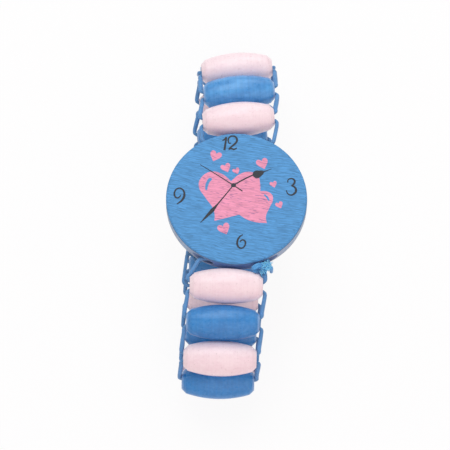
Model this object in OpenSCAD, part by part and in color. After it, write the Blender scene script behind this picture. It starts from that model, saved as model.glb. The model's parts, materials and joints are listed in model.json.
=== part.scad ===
// Toy watch: a round wooden dial on a closed strap of barrel beads, laced on
// one elastic cord that crosses itself inside every bead. The watch lies on
// its strap with the dial up. X runs along the beads, +Y points to 12 o'clock
// and the origin is on the table, under the middle of the watch.

/* [Dial] */
// Diameter of the round dial
dial_d = 36; // [32:0.5:40]
// Thickness of the dial
dial_t = 4.5; // [4:0.1:6]
// Rounding of the dial's edges
dial_edge_r = 0.6; // [0.2:0.1:1]
// Diameter of the two cord holes drilled across the dial
dial_hole_d = 2.6; // [1.8:0.1:3]
// Distance from the rim to the middle of each cord hole
dial_hole_inset = 2.2; // [1.8:0.1:3]

/* [Beads] */
// Length of a bead
bead_l = 18.5; // [15:0.5:22]
// Diameter of a bead at its middle
bead_d = 9; // [8:0.1:10]
// Diameter that the barrel curve would reach at the bead's ends
bead_end_d = 5.7; // [5:0.1:7]
// Diameter of the flat face inside the bevel at the bead's ends
bead_face_d = 4.2; // [4:0.1:5]
// Diameter of the bore through a bead
bead_bore_d = 3.4; // [3.2:0.1:3.8]
// Width of the flare at each mouth of the bore
bead_flare = 0.25; // [0.1:0.05:0.4]
// Gap between neighbouring beads
bead_gap = 0.2; // [0.1:0.05:0.6]
// Gap between the dial's rim and the first bead
rim_gap = 0.4; // [0.3:0.05:1]

/* [Cord] */
// Diameter of the elastic cord
cord_d = 1.2; // [0.9:0.05:1.3]
// Diameter of the cord where it is pulled thin at the knot
tied_cord_d = 0.8; // [0.6:0.05:0.9]
// Radius at which the cord bends round a bead's mouth
cord_bend_r = 1; // [0.8:0.05:1.2]
// Clearance between the cord and the wood that it passes
cord_play = 0.12; // [0.05:0.01:0.2]
// Clearance between the cord's run and the ends of the beads
cord_standoff = 0.2; // [0.15:0.05:0.5]
// Gap where the cord is parted for the hinges, inside bores and behind the dial
cord_parting = 0.1; // [0.04:0.02:0.2]

/* [Knot] */
// Radius that sets the size of the knot's loops
knot_loop_r = 0.6; // [0.55:0.05:0.8]
// Half of the depth of the knot between its strands
knot_depth = 0.8; // [0.75:0.05:1]
// Gap between the knot and the dial's rim
knot_gap = 0.1; // [0.05:0.05:0.4]
// Length of the frayed end beside the knot
fray_l = 2.6; // [1.5:0.1:4]
// Diameter of one frayed fibre at its root
fray_d = 0.42; // [0.3:0.02:0.6]

/* [Hidden] */
// Extra length that carries every cut through a surface
overrun = 1;
// Number of beads, an odd one, so that the first and the last are both pink
bead_count = 17;
// The bead at the middle of the strap's underside
middle_bead = (bead_count + 1) / 2;
// Number of strap links on the table side of the middle bead, for each half
flat_links = 4;
// Downward slope of the strap's first link from the dial, in degrees
first_slope = 7;
// Slopes of the next four links, before they are leant to close the loop
curl_slopes = [18, 25, 70, 133];
// Turn of each half of the strap about the vertical through the middle bead
south_turn = 0;
north_turn = 6;
// Sideways place of each bead, as a share of a bead's length
side_shares = [
    -0.114, -0.15, -0.178, -0.2, -0.195, -0.18, -0.165, -0.15, -0.13,
    -0.115, -0.1, -0.083, -0.067, -0.052, -0.038, 0, 0
];

pitch = bead_d + bead_gap;
dial_r = dial_d / 2;
bead_r = bead_d / 2;
cord_r = cord_d / 2;
hole_y = dial_r - dial_hole_inset;
first_link = dial_hole_inset + bead_r + rim_gap;
// Distance of a strand from the bore's axis
strand_r = bead_bore_d / 2 - cord_r - cord_play;
// Distance from a bead's middle to the strand that runs past its end
run_x = bead_l / 2 + cord_standoff + cord_r;
tube_sides = 8;
bend_steps = 3;

function two_digits(i) = i < 10 ? str("0", i) : str(i);
function bead_name(i) = str("bead_", two_digits(i));
function link_name(i) = str("cord_link_", two_digits(i));

// Vectors
function unit(v) = v / norm(v);
function across(v, axis) = unit(v - (v * axis) * axis);
function arc_mix(a, b, share) =
    let (angle = acos(max(-1, min(1, unit(a) * unit(b)))))
    (sin((1 - share) * angle) * a + sin(share * angle) * b) / sin(angle);
function sum(list, i = 0) = i < len(list) ? list[i] + sum(list, i + 1) : 0;

// Side profile of the strap, the same for both halves. Link 1 runs from the
// dial's hole to the first bead, and link 9 ends at the middle bead.
function curl_reach(lean) = sum([for (s = curl_slopes) cos(s + lean)]);
function solved_lean(low, high, steps) =
    let (mid = (low + high) / 2)
    steps == 0 ? mid
    : hole_y + first_link * cos(first_slope) + pitch * (curl_reach(mid) - flat_links) > 0
        ? solved_lean(mid, high, steps - 1)
        : solved_lean(low, mid, steps - 1);
curl_lean = solved_lean(-45, 45, 40);

function slope(k) =
    k == 1 ? first_slope
    : k <= 1 + len(curl_slopes) ? curl_slopes[k - 2] + curl_lean
    : 180;
function link_length(k) = k == 1 ? first_link : pitch;
function reach(k) = k == 0 ? hole_y : reach(k - 1) + link_length(k) * cos(slope(k));
function fall(k) = k == 0 ? 0 : fall(k - 1) + link_length(k) * sin(slope(k));
hole_z = bead_r + fall(middle_bead);
dial_z = hole_z - dial_t / 2;

// Places of the beads. Each half of the strap lies in an upright plane that
// is turned about the middle bead, and every bore is square to its plane.
function from_dial(i) = i <= middle_bead ? i : bead_count + 1 - i;
function half_turn(i) = i <= middle_bead ? south_turn : north_turn;
function outward(i) =
    i <= middle_bead
        ? [sin(south_turn), -cos(south_turn), 0]
        : [-sin(north_turn), cos(north_turn), 0];
function bore_turn(i) = i == middle_bead ? (south_turn + north_turn) / 2 : half_turn(i);
function bore_axis(i) = [cos(bore_turn(i)), sin(bore_turn(i)), 0];
middle_x = side_shares[middle_bead - 1] * bead_l;
function bead_place(i) =
    let (
        t = reach(from_dial(i)),
        square_place = [middle_x, 0, hole_z - fall(from_dial(i))] + outward(i) * t,
        along = [cos(half_turn(i)), sin(half_turn(i)), 0],
        shift = (side_shares[i - 1] * bead_l - square_place.x) / along.x
    )
    square_place + along * shift;
function link_end(i) =
    i < 1 ? [bead_place(1).x, -hole_y, hole_z]
    : i > bead_count ? [bead_place(bead_count).x, hole_y, hole_z]
    : bead_place(i);

// Directions at a bead, square to its bore: to the bead before it, to the one
// after it, and outward from the loop
function to_before(i) = across(link_end(i - 1) - link_end(i), bore_axis(i));
function to_after(i) = across(link_end(i + 1) - link_end(i), bore_axis(i));
function out_of_loop(i) =
    unit(cross(to_after(i), bore_axis(i)) + cross(bore_axis(i), to_before(i)));

// The cord's route. A strand winds a quarter turn round the bore's axis from
// the middle of a bead to its mouth, so that two strands cross there without
// touching. side is -1 at the left end of a bead and 1 at its right end.
function bore_strand(i, side, toward, at_middle) =
    [
        for (share = [0 : 1 / 3 : 1])
            bead_place(i)
            + bore_axis(i) * side * (cord_parting / 2 + share * (run_x - cord_bend_r - cord_parting / 2))
            + strand_r * arc_mix(at_middle, toward, share)
    ];
function mouth_corner(i, side, toward) =
    bead_place(i) + bore_axis(i) * side * run_x + strand_r * toward;
// Where a strand leaves the end of a bead, just past the bead's edge and the
// strand's own bend
function past_edge(i, side, toward) =
    mouth_corner(i, side, toward) + toward * (cord_play + max(edge_r - strand_r, cord_bend_r));
function reversed(list) = [for (i = [len(list) - 1 : -1 : 0]) list[i]];

// A corner rounded to a radius, as points on its arc
function rounded(a, b, c, radius) =
    let (
        u = unit(a - b),
        v = unit(c - b),
        half = acos(u * v) / 2,
        centre = b + unit(u + v) * radius / sin(half),
        first = b + u * radius / tan(half),
        last = b + v * radius / tan(half)
    )
    [
        for (share = [0 : 1 / bend_steps : 1])
            centre + arc_mix(first - centre, last - centre, share)
    ];

// A corner at the mouth of a bore or hole, where the cord starts to bend at
// the same distance from the corner whichever way it goes on
function mouth_bend(a, b, c) =
    let (half = acos(unit(a - b) * unit(c - b)) / 2)
    rounded(a, b, c, cord_bend_r * tan(half));

// Tube along a route, with rings carried along so that they never twist.
// first_normal and last_normal are square to its flat ends, and ring_start is
// any direction that no route sets out in.
ring_start = [0.31, 0.17, 0.94];
function tangent(route, i) =
    i == 0 ? unit(route[1] - route[0])
    : i == len(route) - 1 ? unit(route[i] - route[i - 1])
    : unit(unit(route[i + 1] - route[i]) + unit(route[i] - route[i - 1]));
function carried(route, normals, i) =
    i == 0 ? across(cross(normals[0], ring_start), normals[0])
    : across(carried(route, normals, i - 1), normals[i]);

module tube(route, d, first_normal, last_normal) {
    count = len(route);
    normals = [
        for (i = [0 : count - 1])
            i == 0 ? first_normal
            : i == count - 1 ? last_normal
            : tangent(route, i)
    ];
    rings = [
        for (i = [0 : count - 1])
            let (a = carried(route, normals, i), b = cross(normals[i], a))
            for (s = [0 : tube_sides - 1])
                let (angle = 360 * s / tube_sides)
                route[i] + d / 2 * (cos(angle) * a + sin(angle) * b)
    ];
    walls = [
        for (i = [0 : count - 2])
            for (s = [0 : tube_sides - 1])
                let (
                    low = i * tube_sides + s,
                    low_next = i * tube_sides + (s + 1) % tube_sides
                )
                each [
                    [low, low + tube_sides, low_next],
                    [low_next, low + tube_sides, low_next + tube_sides]
                ]
    ];
    last = (count - 1) * tube_sides;
    caps = [
        for (s = [1 : tube_sides - 2])
            each [[0, s, s + 1], [last, last + s + 1, last + s]]
    ];
    polyhedron(points = rings, faces = concat(walls, caps));
}

// Dial: a turned disc with rounded edges and a hole across it near 6 and 12
// o'clock, each of which opens through the rim at both ends
module dial() color([0.42, 0.64, 0.82])
    difference() {
        translate([0, 0, dial_z])
            rotate_extrude($fn = 96) {
                square([dial_r - dial_edge_r, dial_t]);
                translate([0, dial_edge_r])
                    square([dial_r, dial_t - 2 * dial_edge_r]);
                for (z = [dial_edge_r, dial_t - dial_edge_r])
                    translate([dial_r - dial_edge_r, z])
                        circle(dial_edge_r, $fn = 32);
            }
        for (y = [-hole_y, hole_y])
            translate([-dial_r, y, hole_z])
                rotate([0, 90, 0])
                    cylinder(h = dial_d, d = dial_hole_d, $fn = 32);
    }

// Bead: a barrel turned on an arc, with bevelled ends and a flared bore
barrel_sag = (bead_d - bead_end_d) / 2;
barrel_r = (pow(bead_l / 2, 2) + pow(barrel_sag, 2)) / (2 * barrel_sag);
// Slope of the bevel at a bead's ends, in degrees from the bead's axis
bevel_slope = 45;
edge_r = bead_face_d / 2;
outside_r = bead_r + overrun;
bevel_l = (outside_r - edge_r) / tan(bevel_slope);

module bead_profile() {
    difference() {
        intersection() {
            translate([bead_r - barrel_r, 0])
                circle(barrel_r, $fn = 240);
            polygon([
                [0, -bead_l / 2],
                [edge_r, -bead_l / 2],
                [outside_r, bevel_l - bead_l / 2],
                [outside_r, bead_l / 2 - bevel_l],
                [edge_r, bead_l / 2],
                [0, bead_l / 2]
            ]);
        }
        translate([0, -bead_l / 2 - overrun])
            square([bead_bore_d / 2, bead_l + 2 * overrun]);
        for (side = [-1, 1])
            scale([1, side])
                translate([0, bead_l / 2])
                    polygon([
                        [0, 0],
                        [bead_bore_d / 2 + bead_flare, 0],
                        [bead_bore_d / 2, -bead_flare],
                        [0, -bead_flare]
                    ]);
    }
}

module bead(i) color(i % 2 == 1 ? [0.96, 0.87, 0.89] : [0.29, 0.56, 0.81])
    translate(bead_place(i))
        rotate([0, 0, bore_turn(i)])
            rotate([0, 90, 0])
                rotate_extrude($fn = 48)
                    bead_profile();

// Colour of the elastic cord
module in_cord_blue() color([0.32, 0.58, 0.84]) children();

// Cord between two neighbouring beads: a strand at each end of the beads
module bead_strand(i, side) {
    from = i - 1;
    start = to_after(from);
    finish = to_before(i);
    start_corner = mouth_corner(from, side, start);
    finish_corner = mouth_corner(i, side, finish);
    start_bore = bore_strand(from, side, start, out_of_loop(from) * side);
    finish_bore = bore_strand(i, side, finish, -out_of_loop(i) * side);
    start_mouth = start_bore[len(start_bore) - 1];
    finish_mouth = finish_bore[len(finish_bore) - 1];
    start_edge = past_edge(from, side, start);
    finish_edge = past_edge(i, side, finish);
    route = concat(
        [for (n = [0 : len(start_bore) - 2]) start_bore[n]],
        mouth_bend(start_mouth, start_corner, start_edge),
        [start_edge, finish_edge],
        mouth_bend(finish_edge, finish_corner, finish_mouth),
        reversed([for (n = [0 : len(finish_bore) - 2]) finish_bore[n]])
    );
    tube(route, cord_d, bore_axis(from) * side, bore_axis(i) * -side);
}

// Cord between the last bead and the dial: in one length through the dial's
// north hole, and into the bead at both of its ends
hole_end_x = sqrt(dial_r * dial_r - hole_y * hole_y);
// Where a strand turns into the dial's hole, past the rim
turn_in_x = hole_end_x + cord_d;

module north_link() {
    i = bead_count;
    toward = to_after(i);
    half_route = [
        for (side = [-1, 1])
            let (
                bore = bore_strand(i, side, toward, out_of_loop(i) * side),
                mouth = bore[len(bore) - 1],
                corner = mouth_corner(i, side, toward),
                edge = past_edge(i, side, toward),
                turn_in = [side * turn_in_x, hole_y, hole_z],
                inside = [0, hole_y, hole_z]
            )
            concat(
                [for (n = [0 : len(bore) - 2]) bore[n]],
                mouth_bend(mouth, corner, edge),
                [edge],
                mouth_bend(edge, turn_in, inside)
            )
    ];
    tube(
        concat(half_route[0], reversed(half_route[1])),
        cord_d,
        -bore_axis(i),
        -bore_axis(i)
    );
}

// Cord between the dial and the first bead. The left strand goes in at the
// dial's south hole, and the right strand ends at the knot.
function south_left_route() =
    let (
        toward = to_before(1),
        bore = bore_strand(1, -1, toward, out_of_loop(1)),
        mouth = bore[len(bore) - 1],
        corner = mouth_corner(1, -1, toward),
        edge = past_edge(1, -1, toward),
        turn_in = [-turn_in_x, -hole_y, hole_z],
        inside = [-cord_parting / 2, -hole_y, hole_z]
    )
    concat(
        [for (n = [0 : len(bore) - 2]) bore[n]],
        mouth_bend(mouth, corner, edge),
        [edge],
        mouth_bend(edge, turn_in, inside),
        [inside]
    );

// Distances from the south hinge at which the right strand and the knot's
// stub meet, so that the strand can swing past the stub
stub_swing_r =
    dial_hole_inset + knot_gap + 2 * (knot_depth + tied_cord_d / 2) - knot_loop_r;

function south_right_route() =
    let (
        toward = to_before(1),
        bore = bore_strand(1, 1, toward, -out_of_loop(1)),
        mouth = bore[len(bore) - 1],
        corner = mouth_corner(1, 1, toward),
        finish = [corner.x, -hole_y - stub_swing_r - cord_parting, hole_z]
    )
    concat(
        [for (n = [0 : len(bore) - 2]) bore[n]],
        mouth_bend(mouth, corner, finish),
        [finish]
    );

module south_link() {
    tube(south_left_route(), cord_d, -bore_axis(1), [1, 0, 0]);
    tube(south_right_route(), cord_d, bore_axis(1), [0, 1, 0]);
}

module cord_link(i) in_cord_blue() {
    if (i == 1)
        south_link();
    else if (i == bead_count + 1)
        north_link();
    else
        for (side = [-1, 1])
            bead_strand(i, side);
}

// Spare end of the cord: from behind the dial, round the rim's underside and
// into the first bead's left mouth
tail_d = cord_d - 2 * cord_play;
tail_z = dial_z - tail_d - cord_standoff;
tail_join = [-0.48 * dial_r, -hole_y + dial_edge_r, tail_z];

module tucked_tail() in_cord_blue() {
    toward = to_before(1);
    below = across(-out_of_loop(1), toward);
    at_mouth = arc_mix(toward, below, 0.9);
    in_bore = arc_mix(toward, below, 0.4);
    axis = bore_axis(1);
    mouth_x = run_x - cord_bend_r;
    inner = bead_place(1) - axis * mouth_x * 0.6 + strand_r * in_bore;
    mouth = bead_place(1) - axis * mouth_x + strand_r * at_mouth;
    corner = mouth - axis * (cord_bend_r + 2 * cord_r);
    rim_corner = [-0.675 * dial_r, -0.67 * dial_r, tail_z];
    join_corner = [-0.56 * dial_r, tail_join.y, tail_z];
    route = concat(
        [inner],
        [mouth],
        mouth_bend(mouth, corner, rim_corner),
        rounded(corner, rim_corner, join_corner, tail_d * 0.8),
        rounded(rim_corner, join_corner, tail_join, tail_d * 0.8),
        [tail_join]
    );
    tube(route, tail_d, -axis, [1, 0, 0]);
}

// Knot: the cord comes out of the dial's south hole, is tied in an overhand
// knot against the rim and goes back behind the dial. A stub of the other end
// leaves the knot towards the first bead.
knot_angle = 21.5;
// Where the cord comes into the knot's curve and leaves it, in degrees
knot_from = 90;
knot_to = 390;
knot_step = 15;
knot_out = [sin(knot_angle), -cos(knot_angle), 0];
knot_side = [cos(knot_angle), sin(knot_angle), 0];
knot_rise = [0, 0, 1];
knot_centre =
    knot_out * (dial_r + knot_gap + knot_depth + tied_cord_d / 2)
    + [0, 0, hole_z - knot_loop_r];

function in_knot(side, rise, out) =
    knot_centre + side * knot_side + rise * knot_rise + out * knot_out;
function knot_point(t) =
    let (x = sin(t) + 2 * sin(2 * t), y = cos(t) - 2 * cos(2 * t))
    in_knot(
        knot_loop_r * (x * cos(30) + y * sin(30)),
        knot_loop_r * (y * cos(30) - x * sin(30)),
        -knot_depth * sin(3 * t)
    );

module knot() in_cord_blue() {
    under = [tail_join.x + cord_parting, tail_join.y, tail_z];
    under_end = [hole_end_x, tail_join.y, tail_z];
    riser_low = in_knot(3.4 * knot_loop_r, -4.4 * knot_loop_r, knot_depth);
    riser_high = in_knot(3.4 * knot_loop_r, 1.2 * knot_loop_r, knot_depth);
    turn_out = in_knot(2.6 * knot_loop_r, 0, -knot_depth);
    turn_back = [hole_end_x + 1.6 * tied_cord_d, -hole_y, hole_z];
    inside = [cord_parting / 2, -hole_y, hole_z];
    first = knot_point(knot_from);
    last = knot_point(knot_to);
    bend = tied_cord_d * 0.7;
    route = concat(
        [under],
        rounded(under, under_end, riser_low, bend),
        rounded(under_end, riser_low, riser_high, bend),
        rounded(riser_low, riser_high, first, bend),
        [for (t = [knot_from : knot_step : knot_to]) knot_point(t)],
        rounded(last, turn_out, turn_back, bend),
        rounded(turn_out, turn_back, inside, bend),
        [inside]
    );
    tube(route, tied_cord_d, [1, 0, 0], [-1, 0, 0]);
    stub_end = [mouth_corner(1, 1, to_before(1)).x, -hole_y - stub_swing_r, hole_z];
    tube([in_knot(0, 0, 0), stub_end], tied_cord_d, unit(stub_end - in_knot(0, 0, 0)), [0, -1, 0]);
}

// Frayed end: short fibres that fan out from the knot along the rim, in a low
// row and a high row of three, each from a root of its own
fray_turns = [-36, -24, -12, 0, 12, 24];
fray_tilts = [20, 44, 10, 50, 28, 40];
fray_spacing = 1.2 * fray_d;

module fibre(n)
    translate(in_knot(
        knot_loop_r,
        2 * knot_loop_r + tied_cord_d / 2 + (n % 2) * fray_spacing,
        (1 - floor(n / 2)) * fray_spacing
    ))
        rotate([0, 0, knot_angle + fray_turns[n]])
            rotate([0, 90 - fray_tilts[n], 0])
                cylinder(h = fray_l, d1 = fray_d, d2 = fray_d / 2, $fn = 16);

module frayed_end() color([0.36, 0.72, 0.9])
    for (n = [0 : len(fray_turns) - 1])
        fibre(n);

dial();
for (i = [1 : bead_count]) bead(i);
for (i = [1 : bead_count + 1]) cord_link(i);
tucked_tail();
knot();
frayed_end();
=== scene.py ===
"""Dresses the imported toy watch: paint on wood, a printed face and braided elastic.

Lengths are in metres. X runs along the beads, +Y points to 12 o'clock and +Z is up.
"""
import json
import math
import random

import bmesh
import bpy
from mathutils import Matrix, Vector


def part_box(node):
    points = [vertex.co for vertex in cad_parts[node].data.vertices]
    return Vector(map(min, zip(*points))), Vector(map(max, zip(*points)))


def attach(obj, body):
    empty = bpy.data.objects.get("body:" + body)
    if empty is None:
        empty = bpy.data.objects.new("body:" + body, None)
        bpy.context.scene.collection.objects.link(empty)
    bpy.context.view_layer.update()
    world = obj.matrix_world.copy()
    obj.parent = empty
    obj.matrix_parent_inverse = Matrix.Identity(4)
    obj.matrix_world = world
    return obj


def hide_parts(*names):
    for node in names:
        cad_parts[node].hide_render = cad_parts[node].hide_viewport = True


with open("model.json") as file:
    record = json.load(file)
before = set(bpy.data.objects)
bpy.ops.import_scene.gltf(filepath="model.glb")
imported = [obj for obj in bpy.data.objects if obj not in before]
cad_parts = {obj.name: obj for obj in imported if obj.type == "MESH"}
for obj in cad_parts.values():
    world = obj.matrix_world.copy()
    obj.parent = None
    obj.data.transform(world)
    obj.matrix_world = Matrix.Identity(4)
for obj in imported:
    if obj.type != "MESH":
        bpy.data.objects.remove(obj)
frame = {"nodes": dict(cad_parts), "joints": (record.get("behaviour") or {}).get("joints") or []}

bl_info = {
    "name": "Toy Watch Dressing",
    "version": (1, 0, 0),
    "blender": (4, 5, 0),
    "location": "View3D > Sidebar > Toy Watch",
    "description": "Paint, print and elastic cord for a toy watch of wooden beads",
    "category": "Object",
}

MM = 0.001


def linear(hex_colour):
    """Linear red, green and blue of an sRGB colour such as #66A2CE."""
    shares = [int(hex_colour[i:i + 2], 16) / 255 for i in (1, 3, 5)]
    return [s / 12.92 if s <= 0.04045 else ((s + 0.055) / 1.055) ** 2.4 for s in shares]


# Places taken from the frame

JOINTS = {j["name"]: j for j in frame["joints"]}
BEAD_COUNT = len([n for n in frame["nodes"] if n.startswith("bead_")])
DIAL_LOW, DIAL_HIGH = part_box("dial")
# The dial's radius and the height of its front
DIAL_R, TOP = DIAL_HIGH.x, DIAL_HIGH.z
BEAD_LOW, BEAD_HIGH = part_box("bead_01")
BEAD_L = BEAD_HIGH.x - BEAD_LOW.x
# The dial's two cord holes: distance from its middle, height and ends
HOLE_Y = -JOINTS["strap_fold"]["pos_m"][1]
HOLE_Z = JOINTS["strap_fold"]["pos_m"][2]
HOLE_END_X = math.sqrt(DIAL_R ** 2 - HOLE_Y ** 2)


def bead_place(i):
    """Middle of bead i."""
    return Vector(JOINTS[f"spin_{i:02d}"]["pos_m"])


def bore_axis(i):
    """Direction of bead i's bore, towards the right."""
    return Vector(JOINTS[f"spin_{i:02d}"]["axis"]).normalized()


# Sizes and colours

def length_prop(name, description, default):
    """A length that a user can change."""
    return bpy.props.FloatProperty(
        name=name, description=description, default=default, min=0, unit="LENGTH", precision=5)


def colour_prop(name, description, hex_colour):
    """A colour that a user can change."""
    return bpy.props.FloatVectorProperty(
        name=name, description=description, default=linear(hex_colour),
        subtype="COLOR", size=3, min=0, max=1)


class WATCH_PG_sizes(bpy.types.PropertyGroup):
    """Sizes of the watch's cord and print."""
    cord_d: length_prop("Cord", "Diameter of the elastic cord", 1.2 * MM)
    tied_d: length_prop("Tied cord", "Diameter of the cord in the knot", 0.94 * MM)
    tail_d: length_prop("Spare end", "Diameter of the tucked spare end", 0.96 * MM)
    bore_d: length_prop("Bore", "Diameter of a bead's bore", 3.4 * MM)
    bend_r: length_prop("Bend", "Radius of the cord's bend at a bead's mouth", 1.5 * MM)
    play: length_prop("Play", "Clearance between the cord and the wood", 0.12 * MM)
    standoff: length_prop("Standoff", "Clearance between the cord and a bead's end", 0.03 * MM)
    parting: length_prop("Parting", "Gap where the cord is parted in a bore", 0.1 * MM)
    edge_r: length_prop("Bead face", "Radius of the flat face at a bead's end", 2.1 * MM)
    ink: length_prop("Ink", "Thickness of one layer of printing ink", 0.02 * MM)
    fray_l: length_prop("Fray", "Length of the cord's frayed end", 2.5 * MM)


class WATCH_PG_colours(bpy.types.PropertyGroup):
    """Colours of the watch's paint, print and cord."""
    dial: colour_prop("Dial", "Paint on the dial's front", "#5297CE")
    pink: colour_prop("Pink beads", "Paint on the odd beads", "#FAE8EB")
    blue: colour_prop("Blue beads", "Paint on the even beads", "#3189CE")
    hearts: colour_prop("Hearts", "Printed hearts", "#EA99B6")
    ink: colour_prop("Numerals", "Printed numerals and hands", "#2B2F37")
    cord: colour_prop("Elastic", "Braided elastic cord", "#5E9AD2")
    fibres: colour_prop("Fray", "Loose fibres at the cord's end", "#55B8F0")


def sizes():
    """The sizes in use."""
    return bpy.context.scene.watch_sizes


def colours():
    """The colours in use."""
    return bpy.context.scene.watch_colours


def shaded(colour, share):
    """A colour times a share, and no part of it over 1."""
    return [min(1, c * share) for c in colour]


# Materials

def feed(tree, socket, value):
    """Gives an input socket a link, a number or a colour (#66A2CE or its linear parts)."""
    if isinstance(value, bpy.types.NodeSocket):
        tree.links.new(value, socket)
    elif isinstance(value, (int, float)):
        socket.default_value = value
    else:
        socket.default_value = (*(linear(value) if isinstance(value, str) else value), 1)


def node(tree, kind, links=None, **settings):
    """Adds a node, sets its sockets and properties, and links its inputs.

    A setting is a property of the node or else a socket, with _ for a space.
    links gives an output socket for each input.
    """
    made = tree.nodes.new(kind)
    # properties come first, because some of them change the sockets
    for key, value in settings.items():
        if hasattr(made, key):
            setattr(made, key, value)
    for key, value in settings.items():
        if not hasattr(made, key):
            made.inputs[key.replace("_", " ")].default_value = value
    for key, socket in (links or {}).items():
        tree.links.new(socket, made.inputs[key])
    return made


def new_material(name, roughness, specular):
    """A material with one principled shader: (material, its tree, the shader)."""
    material = bpy.data.materials.new(name)
    material.use_nodes = True
    tree = material.node_tree
    shader = tree.nodes["Principled BSDF"]
    shader.inputs["Roughness"].default_value = roughness
    shader.inputs["Specular IOR Level"].default_value = specular
    return material, tree, shader


def place(tree, location=(0, 0, 0), turn=0.0, scale=(1, 1, 1)):
    """Object coordinates seen from a place and a turn about Z, then scaled."""
    coords = node(tree, "ShaderNodeTexCoord")
    local = node(tree, "ShaderNodeMapping", {"Vector": coords.outputs["Object"]},
                 vector_type="TEXTURE", Location=location, Rotation=(0, 0, turn))
    return node(tree, "ShaderNodeMapping", {"Vector": local.outputs[0]},
                vector_type="POINT", Scale=scale).outputs[0]


def noise(tree, vector, scale, detail, rough=0.55):
    """Noise from 0 to 1 at a scale per metre."""
    return node(tree, "ShaderNodeTexNoise", {"Vector": vector},
                Scale=scale, Detail=detail, Roughness=rough).outputs["Fac"]


def ramp(tree, socket, low, high):
    """0 where the value is below low, 1 above high, and even between them."""
    return node(tree, "ShaderNodeMapRange", {"Value": socket},
                From_Min=low, From_Max=high).outputs["Result"]


def maths(tree, operation, *values):
    """Result of a Math node, where the values are sockets or numbers."""
    made = node(tree, "ShaderNodeMath", operation=operation)
    for socket, value in zip(made.inputs, values):
        feed(tree, socket, value)
    return made.outputs[0]


def blend(tree, share, first, second):
    """Colour from first to second by a share, each a socket or a colour."""
    made = node(tree, "ShaderNodeMix", data_type="RGBA")
    for index, value in ((0, share), (6, first), (7, second)):
        feed(tree, made.inputs[index], value)
    return made.outputs[2]


def bump(tree, shader, height, distance, strength):
    """Gives a shader a bump from a height of 0 to 1, distance deep."""
    made = node(tree, "ShaderNodeBump", {"Height": height}, Distance=distance, Strength=strength)
    tree.links.new(made.outputs[0], shader.inputs["Normal"])


# Turn of the dial's grain from the X axis
GRAIN_TURN = math.radians(-9.5)


def grained(tree, shader, colour, deep, pore):
    """A colour with the dial's grain in it. The pores also dent the surface.

    The fibres are fine wavy lines 0.25 mm apart, which keep a share of the
    colour, deep. The pores are dashes 2 mm long, in the colour pore.
    """
    sway = maths(tree, "MULTIPLY", noise(tree, place(tree), 110, 1.0), 2.2 * MM)
    shift = node(tree, "ShaderNodeCombineXYZ", {"Y": sway}).outputs[0]
    swayed = node(tree, "ShaderNodeVectorMath", {0: place(tree, turn=GRAIN_TURN), 1: shift},
                  operation="ADD").outputs[0]
    fibre_place, pore_place = (
        node(tree, "ShaderNodeMapping", {"Vector": swayed}, Scale=(share, 1, 1)).outputs[0]
        for share in (0.07, 0.14))
    fibres = ramp(tree, noise(tree, fibre_place, 3700, 2.0, 0.6), 0.38, 0.62)
    pores = ramp(tree, noise(tree, pore_place, 3400, 2.0, 0.6), 0.58, 0.67)
    lined = blend(tree, fibres, shaded(colour, 2 - deep), shaded(colour, deep))
    bump(tree, shader, maths(tree, "SUBTRACT", 1.0, pores), 0.03 * MM, 0.5)
    return blend(tree, pores, lined, pore)


def painted_dial_wood():
    """Thin matt paint rolled on the front of a turned birch disc.

    The grain shows through the paint as fine darker streaks. The side carries
    only a wash of the paint, with painted shade near 6 and 12 o'clock, its
    sanded edge is darker, and the back is bare.
    """
    material, tree, shader = new_material("matt_paint_on_birch_dial", 0.62, 0.35)
    paint = colours().dial
    front = grained(tree, shader, paint, 0.8, shaded(paint, 0.7))
    xyz = node(tree, "ShaderNodeSeparateXYZ", {"Vector": place(tree)})
    height = xyz.outputs["Z"]
    wobble = maths(tree, "MULTIPLY", noise(tree, place(tree), 420, 2.0), 0.12 * MM)
    worn_height = maths(tree, "ADD", height, wobble)
    # side: birch with a wash of paint, full near 6 and 12 o'clock and pale near 3 and 9;
    # the full wash is bluer paint, darkened as painted shade where the beads meet the dial
    side_noise = noise(tree, place(tree, scale=(1, 1, 0.3)), 900, 4.0)
    clouds = ramp(tree, side_noise, 0.35, 0.75)
    pale = blend(tree, clouds, "#9DBAD2", "#A6AEBE")
    full_wash_and_painted_shade = blend(tree, clouds, "#5580BC", "#6078AE")
    sideways = maths(tree, "ABSOLUTE", xyz.outputs["X"])
    wash = blend(tree, ramp(tree, sideways, 5.5 * MM, 9.5 * MM), full_wash_and_painted_shade, pale)
    bare = blend(tree, ramp(tree, side_noise, 0.3, 0.8), "#CFC3AC", "#BBAA8C")
    above_back = ramp(tree, worn_height, DIAL_LOW.z + 0.25 * MM, DIAL_LOW.z + 1.0 * MM)
    side = blend(tree, above_back, bare, wash)
    # edge of the front: a thin dark line where the paint ends
    edge = ramp(tree, worn_height, TOP - 0.66 * MM, TOP - 0.5 * MM)
    rim = blend(tree, edge, side, "#4F6C8C")
    on_front = ramp(tree, worn_height, TOP - 0.36 * MM, TOP - 0.28 * MM)
    body = blend(tree, on_front, rim, front)
    # walls of the two cord holes, in a grey-blue darker than the side's pale wash: painted shade
    beside = maths(tree, "SUBTRACT", maths(tree, "ABSOLUTE", xyz.outputs["Y"]), HOLE_Y)
    above = maths(tree, "SUBTRACT", height, HOLE_Z)
    away = maths(tree, "SQRT", maths(tree, "ADD", maths(tree, "POWER", beside, 2.0),
                                     maths(tree, "POWER", above, 2.0)))
    in_hole = maths(tree, "SUBTRACT", 1.0, ramp(tree, away, 1.33 * MM, 1.5 * MM))
    colour = blend(tree, in_hole, body, "#7288AC")
    tree.links.new(colour, shader.inputs["Base Color"])
    return material


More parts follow.
